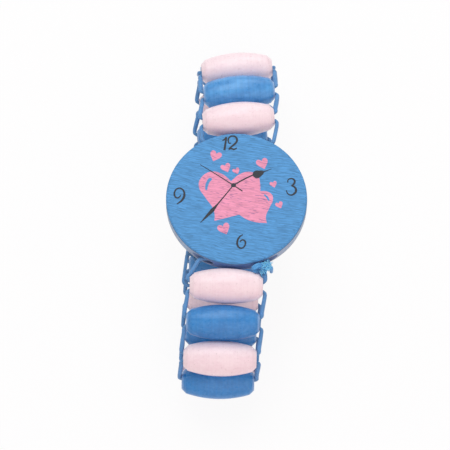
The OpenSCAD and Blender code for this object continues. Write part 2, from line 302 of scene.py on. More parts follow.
def printed_ink(name, colour, deep, pore):
    """A thin printed ink on the dial: the wood's grain shows through it."""
    material, tree, shader = new_material(name, 0.6, 0.35)
    tree.links.new(grained(tree, shader, colour, deep, pore), shader.inputs["Base Color"])
    return material


# The blue bead above the dial has a paler paint, partly its own and partly painted light
PARTLY_LIT_BEAD, PARTLY_LIT_PAINT = 16, "#57A6E4"
# A bead's paint in its clouds, in its thin patches and on its worn end edge
PINK_TINTS = ("#F5DDE3", "#FFF1F3", "#F3E2E6")
BLUE_TINTS = ("#2B7CC0", "#5AA2DC", "#8DB4DF")


def painted_bead_wood(i):
    """Satin paint on a turned wooden bead, with its bore's wall left bare.

    Fine turning rings and the paint's orange peel show in the gloss. Pink
    paint has small grey specks, and the paint is thin on the end edges.
    """
    pink = i % 2 == 1
    name = f"satin_{'pink' if pink else 'blue'}_paint_on_bead_{i:02d}"
    material, tree, shader = new_material(name, 0.3, 0.5)
    axis = bore_axis(i)
    centre, turn = tuple(bead_place(i)), math.atan2(axis.y, axis.x)
    local = place(tree, centre, turn)
    along = maths(tree, "ABSOLUTE",
                  node(tree, "ShaderNodeSeparateXYZ", {"Vector": local}).outputs["X"])
    radius = node(tree, "ShaderNodeVectorMath",
                  {0: place(tree, centre, turn, (0, 1, 1))}, operation="LENGTH").outputs["Value"]
    paint = colours().pink if pink else colours().blue
    # bead 16's paler paint is partly painted light
    if i == PARTLY_LIT_BEAD:
        paint = PARTLY_LIT_PAINT
    deep, patchy, worn = PINK_TINTS if pink else BLUE_TINTS
    clouds = noise(tree, place(tree, (0, 0, 0.01 * i), turn, (0.6, 1, 1)), 380, 4.0, 0.6)
    coat = blend(tree, ramp(tree, clouds, 0.38, 0.72), paint, deep)
    # turning rings 0.3 mm apart
    rings = noise(tree, place(tree, centre, turn, (1, 0.03, 0.03)), 3400, 1.0, 0.5)
    ringed = maths(tree, "MULTIPLY", ramp(tree, rings, 0.35, 0.65), 0.22)
    coat = blend(tree, ringed, coat, shaded(linear(deep), 0.93 if pink else 0.72))
    # the coat is a little thicker and thinner in soft patches, which also shine less
    patches = noise(tree, place(tree, (0, 0, 0.03 * i), turn, (0.7, 1, 1)), 1300, 3.0, 0.6)
    thin = maths(tree, "MULTIPLY", ramp(tree, patches, 0.5, 0.75), 0.5)
    coat = blend(tree, thin, coat, patchy)
    dulled = maths(tree, "ADD", maths(tree, "MULTIPLY", patches, 0.3), 0.16)
    tree.links.new(dulled, shader.inputs["Roughness"])
    if pink:
        specks = noise(tree, place(tree, (0, 0, 0.02 * i)), 1900, 3.0, 0.6)
        coat = blend(tree, ramp(tree, specks, 0.6, 0.78), coat, "#D9C6C6")
    # the paint wears thin on the end edge and stops inside the flare
    ragged = maths(tree, "MULTIPLY", noise(tree, local, 1500, 2.0), 0.3 * MM)
    near_end = ramp(tree, maths(tree, "ADD", along, ragged), BEAD_L / 2 - 0.5 * MM, BEAD_L / 2 + 0.1 * MM)
    coat = blend(tree, near_end, coat, worn)
    outside = ramp(tree, maths(tree, "ADD", radius, ragged), 1.85 * MM, 2.1 * MM)
    colour = blend(tree, outside, "#C9A877", coat)
    tree.links.new(colour, shader.inputs["Base Color"])
    peel = noise(tree, local, 1800, 2.0, 0.5)
    height = maths(tree, "ADD", maths(tree, "MULTIPLY", rings, 0.65), maths(tree, "MULTIPLY", peel, 0.35))
    bump(tree, shader, height, 0.05 * MM, 0.55)
    return material


# The braid's ribs each way round the cord, and the cord's length for one turn of a rib
RIBS, RIB_TURN = 8, 5 * MM


def braided_elastic(name, colour, roughness=0.55):
    """Polyester yarn braided over a rubber core.

    Two sets of ribs wind round the cord in opposite directions, about half a
    millimetre apart. The yarn has a soft sheen, and small differences of
    colour along its length.
    """
    material, tree, shader = new_material(name, roughness, 0.35)
    uv = node(tree, "ShaderNodeUVMap", uv_map="cord_uv").outputs[0]
    xy = node(tree, "ShaderNodeSeparateXYZ", {"Vector": uv})
    # the UV map runs round the cord from 0 to 1 and along it in metres
    round_it = maths(tree, "MULTIPLY", xy.outputs["X"], RIBS * 2 * math.pi)
    along = maths(tree, "MULTIPLY", xy.outputs["Y"], RIBS * 2 * math.pi / RIB_TURN)
    left = maths(tree, "SINE", maths(tree, "ADD", round_it, along))
    right = maths(tree, "SINE", maths(tree, "SUBTRACT", round_it, along))
    ribs = maths(tree, "MULTIPLY", maths(tree, "ADD", maths(tree, "MAXIMUM", left, right), 1.0), 0.5)
    patches = noise(tree, place(tree), 700, 3.0, 0.6)
    body = blend(tree, ramp(tree, patches, 0.35, 0.7), shaded(colour, 0.86), shaded(colour, 1.12))
    # the grooves between the ribs are darker: painted shade
    ribs_with_painted_groove_shade = blend(tree, ribs, shaded(colour, 0.72), body)
    tree.links.new(ribs_with_painted_groove_shade, shader.inputs["Base Color"])
    shader.inputs["Sheen Weight"].default_value = 0.25
    bump(tree, shader, ribs, 0.05 * MM, 0.6)
    return material


def loose_fibres():
    """Drawn polyester filaments: smooth, shiny and bright turquoise, with painted glints in lighter spots."""
    material, tree, shader = new_material("frayed_polyester_fibres", 0.3, 0.6)
    glint_and_bump_spots = noise(tree, place(tree), 2600, 2.0)
    # lighter turquoise spots: painted glints
    lit = blend(tree, ramp(tree, glint_and_bump_spots, 0.38, 0.58), colours().fibres, "#92E6FF")
    tree.links.new(lit, shader.inputs["Base Color"])
    shader.inputs["Sheen Weight"].default_value = 0.3
    bump(tree, shader, glint_and_bump_spots, 0.02 * MM, 0.3)
    return material


# The cord's route

# Shares of the cord's diameter: where it is pulled round a bead's mouth, what it
# gains between two beads, and at the dial
PULLED_SHARE, REGAINED_SHARE, SLACK_SHARE = 0.84, 0.2, 0.92
# Room between a strand and a bead's edge
EDGE_ROOM = 0.02 * MM
# Extra distance from bead 1's end for the strand that slants to the dial
SLANT_STANDOFF = 0.4 * MM
# Steps along the routes of the strands and the knot, and their number in a bend or a bore
STRAND_STEP, KNOT_STEP, BEND_STEPS = 0.3 * MM, 0.22 * MM, 6


def across(v, axis):
    """The part of v square to an axis, with length 1."""
    return (v - axis * v.dot(axis)).normalized()


def angle_between(a, b):
    """The angle between two directions."""
    return math.acos(max(-1, min(1, a.normalized().dot(b.normalized()))))


def arc_mix(a, b, share):
    """Turns evenly from a to b."""
    angle = angle_between(a, b)
    return (a * math.sin((1 - share) * angle) + b * math.sin(share * angle)) / math.sin(angle)


def link_end(i):
    """Where the strap's links meet: a bead's middle, or the dial's cord hole."""
    if i < 1:
        return Vector((bead_place(1).x, -HOLE_Y, HOLE_Z))
    if i > BEAD_COUNT:
        return Vector((bead_place(BEAD_COUNT).x, HOLE_Y, HOLE_Z))
    return bead_place(i)


def toward(i, step):
    """Direction at bead i to the one after it (step 1) or before it (-1), square to its bore."""
    return across(link_end(i + step) - link_end(i), bore_axis(i))


def out_of_loop(i):
    """Direction at bead i out of the strap's loop."""
    return (toward(i, 1).cross(bore_axis(i)) + bore_axis(i).cross(toward(i, -1))).normalized()


def strand_r():
    """Distance of a strand from the bore's axis."""
    s = sizes()
    return s.bore_d / 2 - s.cord_d / 2 - s.play


def run_x():
    """Distance from a bead's middle to the strand that passes its end."""
    s = sizes()
    return BEAD_L / 2 + s.standoff + s.cord_d * PULLED_SHARE / 2


def mouth_corner(i, side, step, extra=0.0):
    """Where a strand would turn at a bead's mouth if it turned sharply, or extra further out."""
    along = bore_axis(i) * side
    return bead_place(i) + along * run_x() + toward(i, step) * strand_r() + along * extra


def past_edge(i, side, step):
    """Where a strand leaves the end of a bead and its own bend."""
    s = sizes()
    return mouth_corner(i, side, step) + toward(i, step) * (s.play + max(s.edge_r - strand_r(), s.bend_r))


def rounded(a, b, c, radius):
    """A corner at b, rounded to a radius."""
    u, v = (a - b).normalized(), (c - b).normalized()
    half = angle_between(a - b, c - b) / 2
    centre = b + (u + v).normalized() * radius / math.sin(half)
    first, last = b + u * radius / math.tan(half), b + v * radius / math.tan(half)
    return [centre + arc_mix(first - centre, last - centre, n / BEND_STEPS)
            for n in range(BEND_STEPS + 1)]


def mouth_bend(a, b, c):
    """A rounded corner at a mouth, which always starts to bend at the same distance from it."""
    return rounded(a, b, c, sizes().bend_r * math.tan(angle_between(a - b, c - b) / 2))


def bent(points, radius):
    """Route from the first point to the last, rounded at the corners between them."""
    corners = zip(points, points[1:], points[2:])
    return [points[0], *(p for corner in corners for p in rounded(*corner, radius)), points[-1]]


def out_of_bore(i, side, step, onward, extra=0.0):
    """Route from a bore's middle, round the corner at its mouth, to a place further on.

    In the bore it winds a quarter turn round the axis.
    """
    start, at_middle = sizes().parting / 2, out_of_loop(i) * side * step
    bore = []
    for n in range(BEND_STEPS + 1):
        share = n / BEND_STEPS
        x = start + share * (run_x() - sizes().bend_r - start)
        bore.append(bead_place(i) + bore_axis(i) * side * x
                    + arc_mix(at_middle, toward(i, step), share) * strand_r())
    return bore[:-1] + mouth_bend(bore[-1], mouth_corner(i, side, step, extra), onward) + [onward]


def smooth_route(points, step):
    """Even points, about a step apart, on a smooth curve through given points."""
    ends = [points[0] * 2 - points[1], *points, points[-1] * 2 - points[-2]]
    fine = []
    for p0, p1, p2, p3 in zip(ends, ends[1:], ends[2:], ends[3:]):
        chord = (p2 - p1).length
        parts = max(2, int(chord / step * 2))
        m1 = (p2 - p0) * chord / max(1e-9, (p1 - p0).length + chord)
        m2 = (p3 - p1) * chord / max(1e-9, (p3 - p2).length + chord)
        for n in range(parts):
            t = n / parts
            fine.append(p1 * (2 * t ** 3 - 3 * t ** 2 + 1) + m1 * (t ** 3 - 2 * t ** 2 + t)
                        + p2 * (3 * t ** 2 - 2 * t ** 3) + m2 * (t ** 3 - t ** 2))
    fine.append(points[-1])
    total = sum((b - a).length for a, b in zip(fine, fine[1:]))
    count = max(4, int(total / step))
    even, walked, target = [fine[0]], 0.0, total / count
    for a, b in zip(fine, fine[1:]):
        gap = (b - a).length
        while gap > 0 and walked + gap >= target and len(even) < count:
            even.append(a.lerp(b, (target - walked) / gap))
            target += total / count
        walked += gap
    even.append(fine[-1])
    return even


def clear_of_beads(route, beads, width):
    """The route, moved out where a tube round it would cut into a bead's edge, and smoothed."""
    for _ in range(3):
        between = [(a + b * 2 + c) / 4 for a, b, c in zip(route, route[1:], route[2:])]
        route = [route[0], *between, route[-1]]
        for n, point in enumerate(route):
            need = width(n / (len(route) - 1)) / 2 + EDGE_ROOM
            for i in beads:
                spot = frame["nodes"][f"bead_{i:02d}"].closest_point_on_mesh(point)[1]
                if (point - spot).length < need:
                    point = spot + (point - spot).normalized() * need
            route[n] = point
    return route


def add_tube(mesh, route, width, sides=18, flat=1.0, twist=0.0, ends=(None, None)):
    """Adds a closed tube along a route to a bmesh.

    width(share) is the diameter along the route, flat is the thin side's share
    of the wide one, and twist turns the section, in radians a metre. ends gives
    the tube's direction where it is cut square at its first and last point.
    """
    uv_maps = mesh.loops.layers.uv
    layer = uv_maps.get("cord_uv") or uv_maps.new("cord_uv")
    count = len(route)
    tangents = [(route[min(n + 1, count - 1)] - route[max(n - 1, 0)]).normalized() for n in range(count)]
    tangents[0], tangents[-1] = ends[0] or tangents[0], ends[1] or tangents[-1]
    # any direction that no tube starts along
    aside = Vector((0.31, 0.17, 0.94))
    normal = across(tangents[0].cross(aside), tangents[0])
    rings, run, runs = [], 0.0, []
    for n, point in enumerate(route):
        if n:
            normal = across(normal, tangents[n])
            run += (point - route[n - 1]).length
        runs.append(run)
        side = tangents[n].cross(normal)
        ring = []
        for k in range(sides):
            a = 2 * math.pi * k / sides
            b = a - twist * run
            r = width(n / (count - 1)) / 2
            r *= math.sqrt(math.cos(b) ** 2 + (flat * math.sin(b)) ** 2)
            ring.append(mesh.verts.new(point + (normal * math.cos(a) + side * math.sin(a)) * r))
        rings.append(ring)
    for n in range(count - 1):
        for k in range(sides):
            nxt = (k + 1) % sides
            face = mesh.faces.new((rings[n][k], rings[n][nxt], rings[n + 1][nxt], rings[n + 1][k]))
            face.smooth = True
            for loop, (u, v) in zip(face.loops, ((k, n), (k + 1, n), (k + 1, n + 1), (k, n + 1))):
                loop[layer].uv = (u / sides, runs[v])
    for ring, at, flip in ((rings[0], runs[0], True), (rings[-1], runs[-1], False)):
        face = mesh.faces.new(list(reversed(ring)) if flip else ring)
        for loop in face.loops:
            loop[layer].uv = (0.5, at)


def new_object(name, data):
    """Puts a new object in the scene."""
    made = bpy.data.objects.new(name, data)
    bpy.context.scene.collection.objects.link(made)
    return made


def cover(made, material):
    """Gives an object one material, in place of any that it had."""
    made.data.materials.clear()
    made.data.materials.append(material)
    return made


def object_from(mesh, name, material):
    """Turns a bmesh into an object with one material and closed, outward faces."""
    bmesh.ops.recalc_face_normals(mesh, faces=mesh.faces)
    data = bpy.data.meshes.new(name)
    mesh.to_mesh(data)
    mesh.free()
    return cover(new_object(name, data), material)


def deselect():
    """Deselects everything, because operators act on all that is selected."""
    if bpy.context.object and bpy.context.object.mode != "OBJECT":
        bpy.ops.object.mode_set(mode="OBJECT")
    bpy.ops.object.select_all(action="DESELECT")


# Printed face

def settle(made, height, material):
    """Makes a curve a mesh, puts it at a height and gives it a material."""
    deselect()
    made.select_set(True)
    bpy.context.view_layer.objects.active = made
    bpy.ops.object.convert(target="MESH")
    made = bpy.context.object
    made.location.z = height
    bpy.ops.object.transform_apply(location=True, rotation=True, scale=True)
    return cover(made, material)


def join_as(name, parts):
    """Joins parts into one object with a name."""
    deselect()
    for part in parts:
        part.select_set(True)
    bpy.context.view_layer.objects.active = parts[0]
    bpy.ops.object.join()
    made = bpy.context.object
    made.name = made.data.name = name
    return made


def open_curve(points, dimensions, resolution, closed):
    """A smooth curve through points in millimetres: (the object, its spline)."""
    deselect()
    bpy.ops.curve.primitive_bezier_curve_add()
    curve = bpy.context.object
    data = curve.data
    data.splines.remove(data.splines[0])
    data.dimensions, data.resolution_u = dimensions, resolution
    spline = data.splines.new("BEZIER")
    spline.bezier_points.add(len(points) - 1)
    spline.use_cyclic_u = closed
    for point, (x, y) in zip(spline.bezier_points, points):
        point.co = (x * MM, y * MM, 0)
        point.handle_left_type = point.handle_right_type = "AUTO"
    return curve, spline


def ink_outline(outline, height, material, thickness, corners=()):
    """Flat ink inside a closed outline in millimetres, smooth but at its corners."""
    curve, spline = open_curve(outline, "2D", 8, True)
    curve.data.fill_mode = "BOTH"
    curve.data.extrude = thickness / 2
    for n in corners:
        point = spline.bezier_points[n]
        point.handle_left_type = point.handle_right_type = "VECTOR"
    return settle(curve, height, material)


def pen_stroke(points, widths, height, material, thickness):
    """A pen's stroke through points in millimetres, with widths spread evenly along it."""
    curve, spline = open_curve(points, "3D", 6, False)
    curve.data.bevel_depth, curve.data.bevel_resolution = MM / 2, 3
    curve.data.use_fill_caps = True
    for n, point in enumerate(spline.bezier_points):
        share = n / (len(points) - 1) * (len(widths) - 1)
        low = min(int(share), len(widths) - 2)
        point.radius = widths[low] + (widths[low + 1] - widths[low]) * (share - low)
    curve.scale.z = thickness / (max(widths) * MM)
    return settle(curve, height, material)


def heart_outline(x, y, size, tilt):
    """A small heart in millimetres, turned anticlockwise by a tilt in degrees."""
    half = [(0, 0.26), (0.16, 0.44), (0.36, 0.46), (0.5, 0.28), (0.46, 0.04), (0.26, -0.22)]
    shape = half + [(0, -0.5)] + [(-a, b) for a, b in reversed(half[1:])]
    c, s = math.cos(math.radians(tilt)), math.sin(math.radians(tilt))
    return [(x + size * (a * c - b * s), y + size * (a * s + b * c)) for a, b in shape]


# Small hearts: middle in millimetres, width and tilt
SMALL_HEARTS = [
    (-5.7, 11.4, 2.95, -20), (-2.85, 8.2, 2.5, 24), (-0.2, 7.4, 1.8, 24), (6.45, 9.6, 3.0, 20),
    (9.35, 3.95, 1.8, 18), (10.95, -1.7, 1.9, 24), (-2.95, -8.6, 3.1, 24),
]
# Two large hearts that overlap, as one outline in millimetres
LARGE_HEARTS = [
    (-1.5, 4.6), (-3.8, 6.5), (-6.7, 7.1), (-9.2, 5.3), (-9.7, 3.0), (-8.0, 0.0), (-6.0, -2.9),
    (-5.5, -4.6), (-5.5, -6.4), (-2.8, -5.6), (0.75, -4.55), (2.6, -5.75), (5.2, -6.55),
    (7.8, -6.7), (7.55, -4.9), (8.4, -2.5), (9.25, -0.3), (9.0, 1.1), (7.6, 2.0), (6.0, 2.05),
    (5.9, 4.2), (5.3, 6.3), (3.2, 7.3), (0.7, 6.6),
]
LARGE_HEART_CORNERS = (0, 8, 10, 13, 19)
# Blue glints on the large hearts
GLINTS = [
    [(-7.75, 2.0), (-8.05, 3.1), (-7.75, 4.35), (-7.0, 5.35), (-6.45, 5.2), (-7.05, 4.05), (-7.4, 3.0)],
    [(6.95, 1.05), (7.65, 0.85), (8.2, 0.1), (8.3, -0.6), (7.75, -0.05), (7.35, 0.5)],
]
# Numerals: pen strokes in millimetres, each with widths along it
NUMERALS = [
    ([(-3.95, 15.8), (-3.45, 16.15), (-3.05, 16.75)], (0.3, 0.42, 0.3)),
    ([(-2.98, 16.85), (-3.1, 15.6), (-3.25, 14.4), (-3.4, 13.1)], (0.42, 0.5, 0.5, 0.55)),
    ([(-1.75, 15.2), (-2.15, 15.1), (-2.42, 15.6), (-2.45, 16.3), (-2.05, 16.9), (-1.37, 17.15),
      (-0.65, 16.95), (-0.25, 16.3), (-0.35, 15.55), (-0.88, 14.85), (-1.65, 14.15), (-2.3, 13.45)],
     (0.24, 0.34, 0.4, 0.42, 0.52, 0.5, 0.36)),
    ([(-2.35, 13.4), (-1.7, 13.62), (-0.95, 13.45), (-0.2, 13.85)], (0.36, 0.42, 0.46, 0.26)),
    ([(12.98, 4.6), (13.0, 5.2), (13.45, 5.63), (14.15, 5.66), (14.66, 5.22), (14.7, 4.6),
      (14.4, 4.08), (13.9, 3.74)], (0.24, 0.3, 0.34, 0.5, 0.5, 0.32)),
    ([(13.9, 3.74), (14.62, 3.42), (15.05, 2.84), (15.06, 2.18), (14.62, 1.52), (13.91, 1.15),
      (13.22, 1.34), (12.78, 1.9), (12.67, 2.45)], (0.34, 0.5, 0.58, 0.5, 0.34, 0.3, 0.22)),
    ([(1.78, -10.0), (1.13, -10.47), (0.65, -11.15), (0.42, -12.0), (0.5, -12.9), (0.91, -13.5),
      (1.55, -13.68), (2.18, -13.25), (2.48, -12.54), (2.4, -11.85), (1.94, -11.46),
      (1.43, -11.55), (1.12, -12.0)], (0.24, 0.46, 0.5, 0.42, 0.36, 0.44, 0.4, 0.28)),
    ([(-14.25, 0.5), (-14.5, -0.03), (-15.07, -0.33), (-15.6, -0.08), (-15.87, 0.63),
      (-15.76, 1.45), (-15.32, 2.1), (-14.66, 2.36), (-13.99, 2.13), (-13.48, 1.5),
      (-13.32, 0.58), (-13.55, -0.38), (-14.13, -1.22), (-15.2, -2.05)],
     (0.26, 0.34, 0.44, 0.42, 0.36, 0.36, 0.42, 0.56, 0.6, 0.24)),
]
# Hands: two strokes each of the second, the minute and the hour hand
HUB = (-0.9, 3.5)
HANDS = [
    ([(-9.5, 9.0), (-5.05, 6.2), HUB], (0.16, 0.26, 0.28)),
    ([HUB, (0.3, 2.7), (1.45, 1.9)], (0.3, 0.3, 0.32)),
    ([HUB, (-2.6, 1.15), (-4.9, -1.95)], (0.26, 0.3, 0.36)),
    ([(-4.7, -1.7), (-5.45, -2.7), (-6.0, -3.4), (-7.2, -4.85), (-9.05, -7.0)],
     (0.34, 0.66, 1.0, 0.72, 0.12)),
    ([HUB, (1.7, 5.15), (4.3, 6.6)], (0.36, 0.36, 0.36)),
    ([(6.4, 7.25), (7.5, 7.7), (8.75, 8.25)], (0.34, 0.22, 0.1)),
]
# Outlines of the hour hand's spade and of the disc at the hub
SPADE = [(4.0, 6.4), (4.4, 7.5), (5.6, 7.7), (6.75, 7.45), (6.1, 6.15), (5.3, 5.6), (4.5, 5.75)]
HUB_DISC = [(-1.5, 3.5), (-1.25, 3.95), (-0.8, 4.05), (-0.3, 3.75), (-0.3, 3.2), (-0.85, 2.95), (-1.35, 3.05)]


# Floor, light and camera

# Lamps: name, place, width, power in watts and colour
LAMPS = [
    ("window", (-0.1, 0.3, 0.68), 0.5, 2.1, "#F4FDFF"),
    ("back_wall", (0.1, 0.65, 0.4), 0.4, 1.0, "#F4FDFF"),
    ("warm_fill", (0.2, -0.75, 0.62), 1.4, 4.2, "#FFE4E8"),
]


def show(tree, output, plain, white, share):
    """Gives an output a plain shader, mixed with a share of white for the camera's rays.

    They include those that reach it off gloss or through glass.
    """
    ray = node(tree, "ShaderNodeLightPath")
    onward = maths(tree, "MAXIMUM", ray.outputs["Is Glossy Ray"], ray.outputs["Is Transmission Ray"])
    seen = maths(tree, "MULTIPLY", maths(tree, "MAXIMUM", ray.outputs["Is Camera Ray"], onward), share)
    both = node(tree, "ShaderNodeMixShader", {0: seen, 1: plain.outputs[0], 2: white.outputs[0]})
    tree.links.new(both.outputs[0], tree.nodes[output].inputs[0])


def paper():
    """White seamless paper, nearly white to the camera, with the object's shadow."""
    material, tree, shader = new_material("white_paper_sweep", 0.9, 0.2)
    fibres = noise(tree, place(tree), 900, 2.0)
    tint = blend(tree, fibres, "#F4F4F5", "#FAFAFA")
    tree.links.new(tint, shader.inputs["Base Color"])
    show(tree, "Material Output", shader, node(tree, "ShaderNodeEmission", Strength=1.0), 0.9)
    return material


def sky(scene):
    """Even, slightly warm light from all round, and white behind the object."""
    world = bpy.data.worlds.new("soft_room")
    scene.world = world
    world.use_nodes = True
    tree = world.node_tree
    room = tree.nodes["Background"]
    feed(tree, room.inputs[0], "#FFF2F4")
    feed(tree, room.inputs[1], 0.52)
    white = node(tree, "ShaderNodeBackground", Color=(1, 1, 1, 1), Strength=1.0)
    show(tree, "World Output", room, white, 1.0)


def lamp(name, place_m, size, power, colour):
    """A soft square lamp that faces the middle of the watch."""
    data = bpy.data.lights.new(name, "AREA")
    data.size, data.energy, data.color = size, power, linear(colour)
    made = new_object(name, data)
    made.location = place_m
    made.rotation_euler = (Vector((0, 0, 0.02)) - made.location).to_track_quat("-Z", "Y").to_euler()


def camera(scene):
    """The photograph's view: 68 degrees above the floor, turned by 1.3 degrees."""
    rise, roll, distance = math.radians(67.75), math.radians(1.28), 0.8
    # the dial's middle stands this far right of the picture's middle and above it
    picture_px, right_px, above_px = 450, 11.6, 27
    data = bpy.data.cameras.new("camera")
    data.sensor_width, data.lens = 36.0, 251.3
    made = new_object("camera", data)
    target = Vector((0, 0, TOP))
    made.location = target + Vector((0, -math.cos(rise), math.sin(rise))) * distance
    focal_px = picture_px * data.lens / data.sensor_width
    look = (target - made.location).to_track_quat("-Z", "Y").to_matrix()
    rolled = look @ Matrix.Rotation(roll, 3, "Z")
    aside = Matrix.Rotation(math.atan(right_px / focal_px), 3, "Y")
    down = Matrix.Rotation(-math.atan(above_px / focal_px), 3, "X")
    made.rotation_euler = (rolled @ aside @ down).to_euler()
    scene.camera = made


class WATCH_OT_stage(bpy.types.Operator):
    """Makes the pale floor, the soft light and the camera"""
    bl_idname = "watch.stage"
    bl_label = "Floor, light and camera"

    def execute(self, context):
        scene = context.scene
        scene.view_settings.view_transform = "Standard"
        deselect()
        bpy.ops.mesh.primitive_plane_add(size=3.0, location=(0, 0, 0))
        floor = context.object
        floor.name = floor.data.name = "paper_floor"
        cover(floor, paper())
        sky(scene)
        for settings in LAMPS:
            lamp(*settings)
        camera(scene)
        return {"FINISHED"}


# Dial, print and beads

class WATCH_OT_dial(bpy.types.Operator):
    """Paints the dial"""
    bl_idname = "watch.dial"
    bl_label = "Painted dial"

    def execute(self, context):
        cover(frame["nodes"]["dial"], painted_dial_wood())
        return {"FINISHED"}


class WATCH_OT_print(bpy.types.Operator):
    """Prints hearts, numerals and hands on the dial"""
    bl_idname = "watch.print_face"
    bl_label = "Printed face"

    def execute(self, context):
        c, ink = colours(), sizes().ink
        low, over = TOP + ink / 2, TOP + ink * 1.5
        pink = printed_ink("pink_screen_ink", c.hearts, 0.85, "#A0709A")
        blue = printed_ink("blue_screen_ink", c.dial, 0.8, shaded(c.dial, 0.7))
        dark = printed_ink("dark_screen_ink", c.ink, 0.9, shaded(c.ink, 0.8))
        hearts = [ink_outline(LARGE_HEARTS, low, pink, ink, LARGE_HEART_CORNERS)]
        hearts += [ink_outline(heart_outline(*heart), low, pink, ink, (0, 6)) for heart in SMALL_HEARTS]
        glints = [ink_outline(shape, TOP + ink, blue, ink) for shape in GLINTS]
        numerals = [pen_stroke(*stroke, over, dark, ink) for stroke in NUMERALS]
        hands = [pen_stroke(*stroke, over, dark, ink) for stroke in HANDS]
        hands += [ink_outline(shape, over, dark, ink) for shape in (SPADE, HUB_DISC)]
        for name, parts in (("printed_hearts", hearts), ("printed_glints", glints),
                            ("printed_numerals", numerals), ("printed_hands", hands)):
            made = join_as(name, parts)
            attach(made, "dial")
        return {"FINISHED"}


class WATCH_OT_beads(bpy.types.Operator):
    """Paints the beads pink and blue in turn"""
    bl_idname = "watch.beads"
    bl_label = "Painted beads"

    def execute(self, context):
        for i in range(1, BEAD_COUNT + 1):
            cover(frame["nodes"][f"bead_{i:02d}"], painted_bead_wood(i))
        return {"FINISHED"}


# Elastic strands

def stretched(share):
    """Diameter of a strand: pulled thin at the beads' mouths and full between the beads."""
    between = max(0.0, math.cos((share - 0.5) * 4 * math.pi))
    return sizes().cord_d * (PULLED_SHARE + REGAINED_SHARE * math.sqrt(between))


def constant(diameter):
    """A width for add_tube that is the same all along."""
    return lambda share: diameter


def strand(mesh, i, side):
    """The strand between two beads, at their left or right ends."""
    out = out_of_bore(i - 1, side, 1, past_edge(i - 1, side, 1))
    back = out_of_bore(i, side, -1, past_edge(i, side, -1))
    route = clear_of_beads(smooth_route(out + back[::-1], STRAND_STEP), (i - 1, i), stretched)
    add_tube(mesh, route, stretched, flat=0.86, twist=190 * side,
             ends=(bore_axis(i - 1) * side, bore_axis(i) * -side))


def slack_strand(mesh, route, bead, ends):
    """A strand at the dial, which is hardly stretched."""
    width = constant(sizes().cord_d * SLACK_SHARE)
    route = clear_of_beads(smooth_route(route, STRAND_STEP), (bead,), width)
    add_tube(mesh, route, width, flat=0.9, twist=120, ends=ends)


def turn_in(side, y):
    """Where a strand, which comes in slantwise, turns along a hole of the dial."""
    return Vector((side * (HOLE_END_X + sizes().cord_d / 3), y, HOLE_Z))


def north(mesh):
    """From the last bead through the dial's north hole and back, in one length."""
    i, halves = BEAD_COUNT, []
    for side in (-1, 1):
        edge = past_edge(i, side, 1)
        halves.append(out_of_bore(i, side, 1, edge)
                      + mouth_bend(edge, turn_in(side, HOLE_Y), Vector((0, HOLE_Y, HOLE_Z))))
    slack_strand(mesh, halves[0] + halves[1][::-1], i, (-bore_axis(i), -bore_axis(i)))


def south(mesh):
    """From the first bead into the dial's south hole on the left, and to the knot on the right."""
    parting, axis = sizes().parting, bore_axis(1)
    inside = Vector((-parting / 2, -HOLE_Y, HOLE_Z))
    turn = turn_in(-1, -HOLE_Y)
    route = (out_of_bore(1, -1, -1, turn, SLANT_STANDOFF)[:-1]
             + bent([mouth_corner(1, -1, -1, SLANT_STANDOFF), turn, inside], sizes().cord_d)[1:])
    slack_strand(mesh, route, 1, (-axis, Vector((1, 0, 0))))
    slack_strand(mesh, out_of_bore(1, 1, -1, stub_end(parting)), 1, (axis, Vector((0, 1, 0))))


class WATCH_OT_elastic(bpy.types.Operator):
    """Laces the elastic through the beads and the dial"""
    bl_idname = "watch.elastic"
    bl_label = "Elastic strands"

    def execute(self, context):
        cord = braided_elastic("braided_polyester_elastic", colours().cord)
        for i in range(1, BEAD_COUNT + 2):
            mesh = bmesh.new()
            if i == 1:
                south(mesh)
            elif i == BEAD_COUNT + 1:
                north(mesh)
            else:
                for side in (-1, 1):
                    strand(mesh, i, side)
            made = object_from(mesh, f"elastic_strands_{i:02d}", cord)
            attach(made, f"link_{i:02d}")
            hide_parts(f"cord_link_{i:02d}")
        return {"FINISHED"}


# Knot, fray and spare end

# Size and depth of the knot's loops, its gap to the rim, and the diameter of its cord
# where that isn't in the knot
KNOT_LOOP, KNOT_DEPTH, KNOT_GAP, KNOT_CORD = 0.6 * MM, 0.8 * MM, 0.1 * MM, 0.8 * MM
# Turn round the dial from 6 o'clock to the knot
KNOT_TURN = math.radians(21.5)
KNOT_OUT = Vector((math.sin(KNOT_TURN), -math.cos(KNOT_TURN), 0))
KNOT_SIDE = Vector((math.cos(KNOT_TURN), math.sin(KNOT_TURN), 0))


def stub_end(gap):
    """The end of the knot's stub, or a gap beyond it the end of bead 1's right strand."""
    y = -HOLE_Y - (DIAL_HIGH.y - HOLE_Y + KNOT_GAP + 2 * (KNOT_DEPTH + KNOT_CORD / 2) - KNOT_LOOP)
    return Vector((mouth_corner(1, 1, -1).x, y - gap, HOLE_Z))


def in_knot(side, rise, out):
    """A place seen from the knot's middle: beside the rim, upwards and outwards."""
    centre = KNOT_OUT * (DIAL_R + KNOT_GAP + KNOT_DEPTH + KNOT_CORD / 2)
    centre.z = HOLE_Z - KNOT_LOOP
    return centre + KNOT_SIDE * side + Vector((0, 0, rise)) + KNOT_OUT * out


def knot_point(degrees):
    """A point on the overhand knot's curve."""
    t, a = math.radians(degrees), math.radians(30)
    x, y = math.sin(t) + 2 * math.sin(2 * t), math.cos(t) - 2 * math.cos(2 * t)
    return in_knot(KNOT_LOOP * (x * math.cos(a) + y * math.sin(a)),
                   KNOT_LOOP * (y * math.cos(a) - x * math.sin(a)),
                   -KNOT_DEPTH * math.sin(3 * t))


# Room that the knot leaves above bead 1 for the strap's fold
BEAD_ROOM = 0.32 * MM
